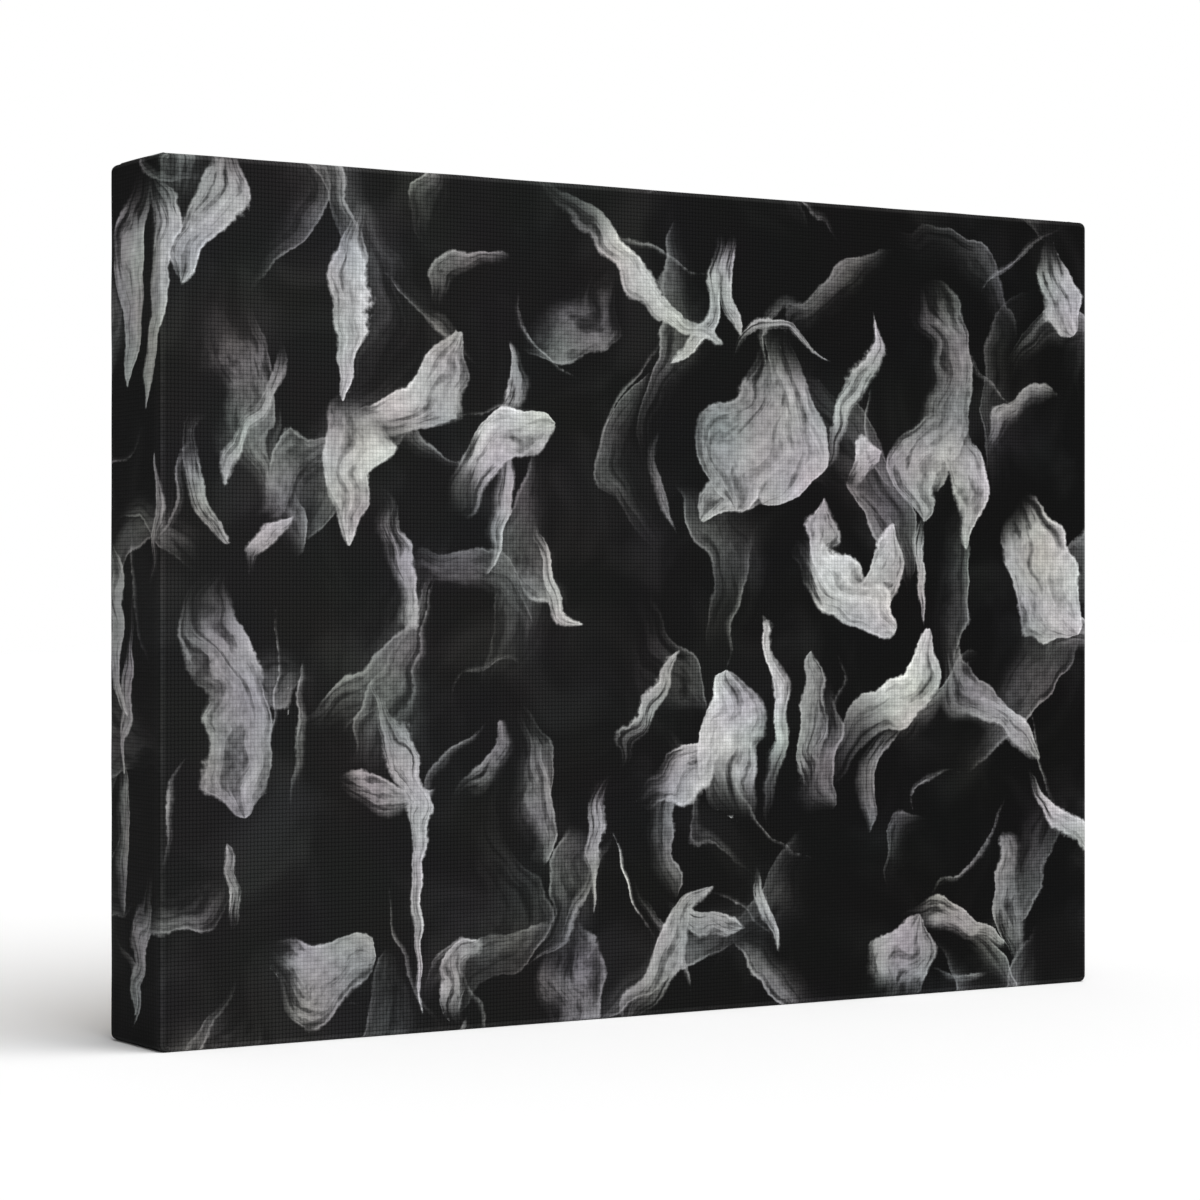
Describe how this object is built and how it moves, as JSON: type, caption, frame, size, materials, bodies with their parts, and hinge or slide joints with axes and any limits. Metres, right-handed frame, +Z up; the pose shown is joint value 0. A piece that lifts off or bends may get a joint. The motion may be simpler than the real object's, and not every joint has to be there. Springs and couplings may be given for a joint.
{
  "type": "stretched canvas",
  "caption": "Gallery-wrapped printed canvas stretched over a keyed wooden frame, stapled at the back, with wedge keys, a sawtooth hanger and wall bumpers.",
  "frame": {"origin": "under the middle of the whole object, on the surface that its lower side stands on", "axes": "+Z up, +X to the viewer's right along the width, the printed face towards -Y and the back towards +Y"},
  "size_m": [0.3048, 0.034, 0.2286],
  "materials": {
    "printed_canvas": "matt printed cotton canvas, near-black ground with pale grey forms",
    "pine": "planed, unfinished pine",
    "key_wood": "sawn, unfinished hardwood",
    "staple_wire": "galvanised flat wire",
    "hanger_steel": "zinc-plated pressed strip",
    "nail_steel": "zinc-plated wire nails",
    "bumper_rubber": "black moulded rubber"
  },
  "bodies": {
    "stretched_canvas": {"canvas": "printed_canvas", "stretcher_bar_top": "pine", "stretcher_bar_right": "pine", "stretcher_bar_bottom": "pine", "stretcher_bar_left": "pine", "staples_top": "staple_wire", "staples_right": "staple_wire", "staples_bottom": "staple_wire", "staples_left": "staple_wire", "sawtooth_hanger": "hanger_steel", "hanger_nails": "nail_steel", "wall_bumper_left": "bumper_rubber", "wall_bumper_right": "bumper_rubber"},
    "wedge_key_top_bar_right": {"wedge_key_top_bar_right": "key_wood"},
    "wedge_key_top_bar_left": {"wedge_key_top_bar_left": "key_wood"},
    "wedge_key_right_bar_bottom": {"wedge_key_right_bar_bottom": "key_wood"},
    "wedge_key_right_bar_top": {"wedge_key_right_bar_top": "key_wood"},
    "wedge_key_bottom_bar_left": {"wedge_key_bottom_bar_left": "key_wood"},
    "wedge_key_bottom_bar_right": {"wedge_key_bottom_bar_right": "key_wood"},
    "wedge_key_left_bar_top": {"wedge_key_left_bar_top": "key_wood"},
    "wedge_key_left_bar_bottom": {"wedge_key_left_bar_bottom": "key_wood"}
  },
  "joints": [
    {"name": "wedge_key_top_bar_right_slide", "type": "slide", "parent": "stretched_canvas", "child": "wedge_key_top_bar_right", "axis": [0, 0, -1], "range_m": [0, 0.024]},
    {"name": "wedge_key_top_bar_left_slide", "type": "slide", "parent": "stretched_canvas", "child": "wedge_key_top_bar_left", "axis": [0, 0, -1], "range_m": [0, 0.024]},
    {"name": "wedge_key_right_bar_bottom_slide", "type": "slide", "parent": "stretched_canvas", "child": "wedge_key_right_bar_bottom", "axis": [-1, 0, 0], "range_m": [0, 0.024]},
    {"name": "wedge_key_right_bar_top_slide", "type": "slide", "parent": "stretched_canvas", "child": "wedge_key_right_bar_top", "axis": [-1, 0, 0], "range_m": [0, 0.024]},
    {"name": "wedge_key_bottom_bar_left_slide", "type": "slide", "parent": "stretched_canvas", "child": "wedge_key_bottom_bar_left", "axis": [0, 0, 1], "range_m": [0, 0.024]},
    {"name": "wedge_key_bottom_bar_right_slide", "type": "slide", "parent": "stretched_canvas", "child": "wedge_key_bottom_bar_right", "axis": [0, 0, 1], "range_m": [0, 0.024]},
    {"name": "wedge_key_left_bar_top_slide", "type": "slide", "parent": "stretched_canvas", "child": "wedge_key_left_bar_top", "axis": [1, 0, 0], "range_m": [0, 0.024]},
    {"name": "wedge_key_left_bar_bottom_slide", "type": "slide", "parent": "stretched_canvas", "child": "wedge_key_left_bar_bottom", "axis": [1, 0, 0], "range_m": [0, 0.024]}
  ]
}
